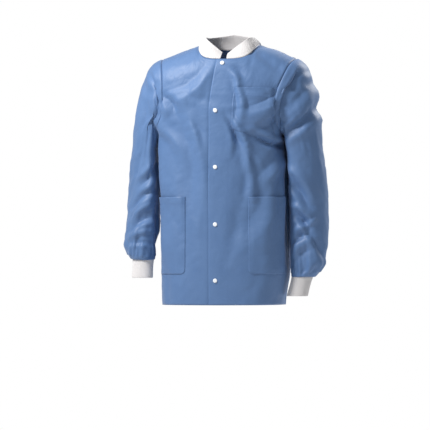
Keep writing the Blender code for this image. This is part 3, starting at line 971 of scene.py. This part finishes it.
def nonwoven():
    """Blue spunbond nonwoven: bonded dots, stray fibres, soft crumples and a papery gloss."""
    g = Graph("nonwoven")
    uv = g.node("TexCoord")
    cloud = g.texture("Noise", uv, Scale=14.0, Detail=5.0, Roughness=0.6)
    fibre = g.texture("Noise", g.stretch(uv, (900.0, 260.0, 1.0)), "Vector",
                      Scale=1.0, Detail=4.0, Roughness=0.7, Distortion=0.6)
    dots = g.texture("Voronoi", uv, Scale=620.0, Randomness=0.18)
    tone = g.tone(cloud, (0.078, 0.158, 0.330), (0.110, 0.204, 0.396))
    both = g.node("Math", operation="MULTIPLY")
    g.link(g.ramp(fibre, "Fac", 0.3, 0.7, 0.94, 1.05), 0, both, 0)
    g.link(g.ramp(dots, "Distance", 0.15, 0.5, 0.93, 1.02), 0, both, 1)
    warp = g.texture("Noise", uv, Scale=18.0, Detail=3.0)
    shift = g.node("VectorMath", operation="MULTIPLY_ADD")
    shift.inputs[1].default_value = (0.035, 0.035, 0.0)
    g.link(warp, "Color", shift, 0)
    g.link(uv, "UV", shift, 2)
    paper = g.texture("Voronoi", shift, 0, Scale=38.0, Randomness=1.0, feature="DISTANCE_TO_EDGE")
    facets = g.ramp(paper, "Distance", 0.0, 0.28, 0.0, 1.0)
    g.bumps((facets, 0, 0.0010, 0.22), (cloud, "Fac", 0.004, 0.22),
            (dots, "Distance", 0.00012, 0.5), (fibre, "Fac", 0.00006, 0.5))
    return g.finish(g.scaled(tone, both), 0, g.ramp(cloud, "Fac", 0.3, 0.7, 0.48, 0.60), {
        "Specular IOR Level": 0.5, "Sheen Weight": 0.25, "Sheen Roughness": 0.45,
        "Sheen Tint": (0.65, 0.75, 1.0, 1.0)})


def rib_knit():
    """White cotton rib: columns of small loops with soft shadow in the grooves."""
    g = Graph("rib_knit")
    uv = g.node("TexCoord")
    wales = g.texture("Wave", uv, Scale=210.0, Distortion=0.6, bands_direction="X")
    courses = g.texture("Wave", uv, Scale=260.0, Distortion=1.2, bands_direction="Y")
    fuzz = g.texture("Noise", uv, Scale=900.0, Detail=4.0)
    soft = g.texture("Noise", uv, Scale=22.0, Detail=3.0)
    tone = g.tone(soft, (0.72, 0.69, 0.68), (0.82, 0.79, 0.78))
    shade = g.scaled(tone, g.ramp(wales, "Fac", 0.0, 0.6, 0.88, 1.0))
    g.bumps((wales, "Fac", 0.0004, 0.6), (courses, "Fac", 0.0002, 0.5), (fuzz, "Fac", 0.0001, 0.4))
    return g.finish(shade, 0, g.ramp(fuzz, "Fac", 0.3, 0.7, 0.82, 0.95), {
        "Specular IOR Level": 0.25, "Sheen Weight": 0.35, "Sheen Roughness": 0.5})


def snap_plastic():
    """Glossy moulded white plastic with slight flow marks."""
    g = Graph("snap_plastic")
    flow = g.texture("Noise", g.node("TexCoord"), "Object", Scale=300.0, Detail=3.0)
    tone = g.tone(flow, (0.86, 0.88, 0.90), (0.93, 0.94, 0.95))
    g.bumps((flow, "Fac", 0.00003, 0.4))
    return g.finish(tone, "Result", g.ramp(flow, "Fac", 0.3, 0.7, 0.22, 0.34), {
        "Coat Weight": 0.3, "Coat Roughness": 0.15})


def thread():
    """Blue sewing thread, a little darker than the cloth."""
    g = Graph("thread")
    twist = g.texture("Noise", g.node("TexCoord"), "Object", Scale=1500.0, Detail=2.0)
    tone = g.tone(twist, (0.060, 0.130, 0.310), (0.120, 0.210, 0.430))
    g.bumps((twist, "Fac", 0.0001, 0.4))
    return g.finish(tone, "Result", None, {"Roughness": 0.5})


# ---- collar, cuffs and pockets ------------------------------------------------------------------
def collar_half(name, side):
    """From centre back round to the end of the collar at centre front."""
    count = 340
    lower, upper = [], []
    for n in range(count + 1):
        turn = 0.965 * math.pi * n / count
        x = side * NECK_HALF_WIDTH * math.sin(turn)
        seam = on_back(x, neck_z(x, BACK_NECK_DROP))
        if turn > 0.5 * math.pi:
            seam = on_front(x, neck_z(x, FRONT_NECK_DROP))
        top = Vector((seam.x * COLLAR_LEAN, seam.y * COLLAR_LEAN, 0.0))
        middle_z = COLLAR_BACK_Z if seam.y > 0.0 else COLLAR_FRONT_Z
        share = min(1.0, abs(top.x) / (NECK_HALF_WIDTH * COLLAR_LEAN))
        top.z = mix(middle_z, COLLAR_SIDE_Z, share) - KNIT * 0.5
        lower.append(seam + Vector((0.0, 0.0, 0.0012)))
        upper.append(top)
    length = travel(lower)[-1]

    def outward(n, t):
        before, after = max(n - 1, 0), min(n + 1, count)
        along = lower[after].lerp(upper[after], 0.5) - lower[before].lerp(upper[before], 0.5)
        out = along.cross(upper[n] - lower[n]).normalized()
        if out.dot(Vector((lower[n].x, lower[n].y, 0.0))) < 0.0:
            out.negate()
        return out

    item = rib_band(name, lower, upper, outward, False, KNIT, length / RIB_PITCH, rows=12)
    flat = (length, sum((b - a).length for a, b in zip(lower, upper)) / len(lower))
    return item, flat


def rib_cuff(name, node):
    """A folded tube of rib. Its fold is the free edge at the hand."""
    low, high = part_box(node)
    verts = [v.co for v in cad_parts[node].data.vertices]

    def ring_middle(z):
        rim = [co for co in verts if abs(co.z - z) < 0.0015]
        middle = sum(rim, Vector()) / len(rim)
        return middle, max(math.hypot(co.x - middle.x, co.y - middle.y) for co in rim)

    (top, radius), (bottom, _) = ring_middle(high[2]), ring_middle(low[2])
    count = 480
    upper, lower = [], []
    for n in range(count):
        turn = 2.0 * math.pi * n / count
        out = Vector((math.cos(turn), math.sin(turn), 0.0))
        lower.append(Vector((top.x, top.y, high[2])) + out * radius)
        upper.append(Vector((bottom.x, bottom.y, low[2] + KNIT * 0.5)) + out * (radius - 0.0008))

    def outward(n, t):
        turn = 2.0 * math.pi * n / count
        return Vector((math.cos(turn), math.sin(turn), 0.0))

    girth = 2.0 * math.pi * radius
    item = rib_band(name, lower, upper, outward, True, KNIT, round(girth / RIB_PITCH),
                    bulge=-0.0012)
    return item, (girth, high[2] - low[2])


def pocket_panel(sheet, name, side, inner_x, outer_x, top_z, bottom_z, slant, corner, belly):
    """A patch pocket that lies on the hanging front, held at its sides and bottom."""
    columns, rows = 44, 64
    points, uvs, cut = [], [], []
    for r in range(rows + 1):
        down = r / rows
        for c in range(columns + 1):
            across = c / columns
            low_z = bottom_z - slant * across
            z = mix(top_z, low_z, down)
            rise_left = corner - (z - low_z)
            pull = 0.0
            if rise_left > 0.0:
                pull = corner - math.sqrt(max(0.0, corner ** 2 - rise_left ** 2))
            wide = half_width(z)
            start = math.asin((inner_x + pull) / wide)
            end = math.asin(min(outer_x - (pull if slant else 0.0), wide * 0.999) / wide)
            x = side * wide * math.sin(mix(start, end, across))
            edge = min(across, 1.0 - across, (1.0 - down) * 1.4)
            held = smooth(edge / 0.10)
            lift = 0.0011 + 0.0008 * held
            lift += belly * math.sin(math.pi * across) ** 0.8 * smooth((1.0 - down) / 0.5) * held
            if down < 0.012:
                lift += 0.0006
            if abs(z - (top_z - 0.020)) < 0.0020:
                lift -= 0.0004
            crumple_at = Vector((x * 16.0, 3.0 + side, z * 10.0))
            lift += 0.0026 * held * (abs(noise.noise(crumple_at)) - 0.15)
            co, _ = sheet.carry(on_front(x, z), lift)
            points.append(co)
            if r == rows // 2:
                cut.append(on_front(x, z))
            uvs.append((across * (outer_x - inner_x), z))
    faces = []
    for r in range(rows):
        for c in range(columns):
            a = r * (columns + 1) + c
            quad = (a, a + columns + 1, a + columns + 2, a + 1)
            faces.append(quad if side > 0 else quad[::-1])
    item = mesh_object(name, points, faces, [v for face in faces for k in face for v in uvs[k]])
    grid = [points[r * (columns + 1):(r + 1) * (columns + 1)] for r in range(rows + 1)]
    return item, grid, (travel(cut)[-1], top_z - bottom_z + slant * 0.5)


def grid_path(grid, spots):
    """A path through (row, column) places of a pocket's grid, with its normals."""
    path, normals = [], []
    for (r0, c0), (r1, c1) in zip(spots, spots[1:]):
        steps = max(abs(r1 - r0), abs(c1 - c0))
        for n in range(steps + 1):
            r = round(mix(r0, r1, n / steps))
            c = round(mix(c0, c1, n / steps))
            here = grid[r][c]
            down = grid[min(r + 1, len(grid) - 1)][c] - grid[max(r - 1, 0)][c]
            right = grid[r][min(c + 1, len(grid[0]) - 1)] - grid[r][max(c - 1, 0)]
            up = down.cross(right).normalized()
            if up.y > 0.0:
                up.negate()
            path.append(here + up * 0.00045)
            normals.append(up)
    return path, normals


# ---- the scene ----------------------------------------------------------------------------------
def give(item, *materials):
    item.data.materials.clear()
    for material in materials:
        item.data.materials.append(material)


def main():
    cloth, front, back, sleeves = build_cloth()
    found = simulate(cloth, front, back, sleeves)
    sheet = Sheet(cloth, found)
    crumple(sheet)

    blue, knit, plastic, sewing = nonwoven(), rib_knit(), snap_plastic(), thread()

    # fronts: both take the overlap strip; on the right front it lies lower, under the left
    left = cut_piece(sheet, "coat_front_left", ("front_left", "overlap"))
    right = cut_piece(sheet, "coat_front_right", ("front_right", "overlap"), overlap_offset)
    rear = cut_piece(sheet, "coat_back", ("back",))
    arms = {label: cut_piece(sheet, "coat_sleeve_" + label, ("sleeve_" + label,))
            for label in ("left", "right")}
    for item in (left, right, rear, *arms.values()):
        thicken(item, SHEET)
        give(item, blue, sewing)

    runs = [carried_stitches(sheet, [(x, HEM_Z + 0.004), (x, -0.051)])
            for x in (OVERLAP_EDGE_X + STITCH_INSET, OVERLAP_FOLD_X - 0.006)]
    spots = [(mix(OVERLAP_EDGE_X + STITCH_INSET, HALF_WIDTH + 0.004, n / 12), HEM_Z + HEM_STITCH)
             for n in range(13)]
    add_thread(left, runs + [carried_stitches(sheet, spots)])
    add_thread(right, [carried_stitches(sheet, [(-x, z) for x, z in spots[1:]])])

    for name, side, inner, outer, top, bottom, slant, corner, belly in POCKETS:
        item, grid, flat = pocket_panel(sheet, "coat_" + name, side, inner, outer, top, bottom,
                                        slant, corner, belly)
        thicken(item, SHEET)
        give(item, blue, sewing)
        r, c = len(grid) - 1, len(grid[0]) - 1
        hem = round(r * POCKET_HEM / (top - bottom))
        add_thread(item, [stitches(*grid_path(grid, spots)) for spots in (
            [(0, 1), (r - 1, 1), (r - 1, c - 1), (0, c - 1)], [(hem, 1), (hem, c - 1)])])
        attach(item, "torso")
        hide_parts(name)

    for item, label in ((left, "left"), (right, "right")):
        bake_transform(item)
        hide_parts("front_panel_" + label, "placket_" + label)
    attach(rear, "torso")
    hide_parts("back_panel")
    for label, item in arms.items():
        side = 1 if label == "left" else -1
        seam = [Vector(sheet.points[i]) for i in sheet.seam(label)]
        line = max(seam, key=lambda p: p.z) - min(seam, key=lambda p: p.z)
        away = Vector((side * line.z, 0.0, -side * line.x)).normalized()
        away = (away + Vector((0.0, 0.0, -SLEEVE_TILT[side]))).normalized()
        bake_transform(item)
        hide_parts("sleeve_" + label)

    for label, side in (("left", 1), ("right", -1)):
        item, flat = collar_half("collar_" + label, side)
        give(item, knit)
        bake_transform(item)
        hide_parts("collar")
        item, flat = rib_cuff("cuff_knit_" + label, "cuff_" + label)
        give(item, knit)
        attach(item, label + "_sleeve")
        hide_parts("cuff_" + label)

    for name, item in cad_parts.items():
        if name.startswith("snap_"):
            give(item, plastic)

    areas = {n: flat_area(sheet.pattern, sheet.faces[np.isin(sheet.piece, PIECES.index(n))])
             for n in PIECES}


def studio():
    scene = bpy.context.scene
    world = bpy.data.worlds.new("studio")
    world.use_nodes = True
    nodes, links = world.node_tree.nodes, world.node_tree.links
    soft = nodes["Background"]
    soft.inputs["Color"].default_value = (0.93, 0.96, 1.0, 1.0)
    soft.inputs["Strength"].default_value = 0.43
    white = nodes.new("ShaderNodeBackground")
    white.inputs["Color"].default_value = (1.0, 1.0, 1.0, 1.0)
    seen = nodes.new("ShaderNodeLightPath")
    choose = nodes.new("ShaderNodeMixShader")
    links.new(seen.outputs["Is Camera Ray"], choose.inputs["Fac"])
    links.new(soft.outputs[0], choose.inputs[1])
    links.new(white.outputs[0], choose.inputs[2])
    links.new(choose.outputs[0], nodes["World Output"].inputs["Surface"])
    scene.world = world
    scene.view_settings.view_transform = "Standard"

    def softbox(name, spot, size, power):
        light = bpy.data.lights.new(name, "AREA")
        light.size = size
        light.energy = power
        item = bpy.data.objects.new(name, light)
        item.location = spot
        item.rotation_mode = "QUATERNION"
        item.rotation_quaternion = (Vector(LIGHT_AIM) - Vector(spot)).to_track_quat("-Z", "Y")
        scene.collection.objects.link(item)

    softbox("key", (-1.0, -1.15, 0.95), 0.42, 45.0)
    softbox("rear", (1.6, 2.2, 1.2), 1.2, 52.0)

    floor_mesh = bpy.data.meshes.new("floor")
    bm = bmesh.new()
    bmesh.ops.create_circle(bm, cap_ends=True, segments=96, radius=3.0)
    bm.to_mesh(floor_mesh)
    bm.free()
    floor = bpy.data.objects.new("floor", floor_mesh)
    floor.location.z = FLOOR_Z
    pale = Graph("pale_floor")
    pale.shader.inputs["Base Color"].default_value = (0.94, 0.94, 0.94, 1.0)
    pale.shader.inputs["Roughness"].default_value = 0.9
    floor_mesh.materials.append(pale.material)
    scene.collection.objects.link(floor)

    azimuth = math.radians(CAMERA_AZIMUTH)
    away = Vector((math.sin(azimuth), -math.cos(azimuth), 0.0))
    camera = bpy.data.cameras.new("camera")
    camera.lens = CAMERA_LENS
    item = bpy.data.objects.new("camera", camera)
    item.location = Vector(CAMERA_AIM) + away * CAMERA_DISTANCE
    item.rotation_mode = "QUATERNION"
    item.rotation_quaternion = (-away).to_track_quat("-Z", "Y")
    scene.collection.objects.link(item)
    scene.camera = item


main()
studio()
